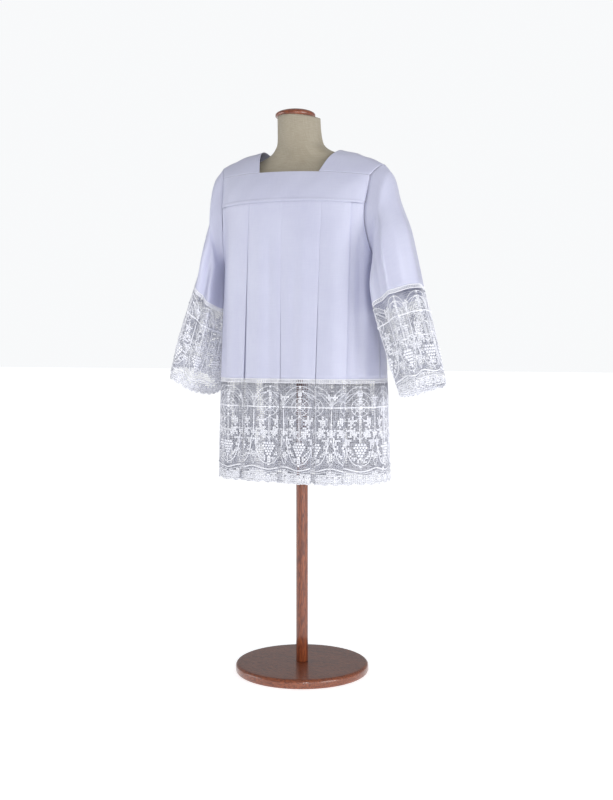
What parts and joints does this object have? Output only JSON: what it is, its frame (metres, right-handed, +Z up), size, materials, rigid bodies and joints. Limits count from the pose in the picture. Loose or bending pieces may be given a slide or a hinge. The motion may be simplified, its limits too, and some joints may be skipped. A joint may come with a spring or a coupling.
{
  "type": "surplice on a dress form",
  "caption": "White pleated church surplice with a square neck, wide sleeves and deep lace at hem and cuffs, worn by a limbless linen dress form on a round wooden base.",
  "frame": {"origin": "centre of the base's underside, which rests on the floor", "axes": "+Z up along the pole, -Y towards the front of the garment, +X towards the wearer's left"},
  "size_m": [0.7988, 0.36, 1.501],
  "materials": {
    "cloth": "smooth matt white polyester-cotton with a faint cool tint and pressed pleats",
    "lace": "white cotton filet lace with raised cords and a vine motif",
    "insertion": "white openwork ladder band, stitched on both edges",
    "linen": "natural linen stretched over the form",
    "wood": "red-brown stained and varnished wood"
  },
  "bodies": {
    "root": {"yoke_front": "cloth", "yoke_back": "cloth", "shoulder_left": "cloth", "shoulder_right": "cloth", "body_front": "cloth", "body_back": "cloth", "sleeve_left": "cloth", "sleeve_right": "cloth", "hem_lace_front": "lace", "hem_lace_back": "lace", "cuff_lace_left": "lace", "cuff_lace_right": "lace", "hem_insertion_front": "insertion", "hem_insertion_back": "insertion", "cuff_insertion_left": "insertion", "cuff_insertion_right": "insertion", "form_torso": "linen", "form_cap": "wood", "form_pole": "wood", "form_base": "wood"}
  },
  "joints": []
}
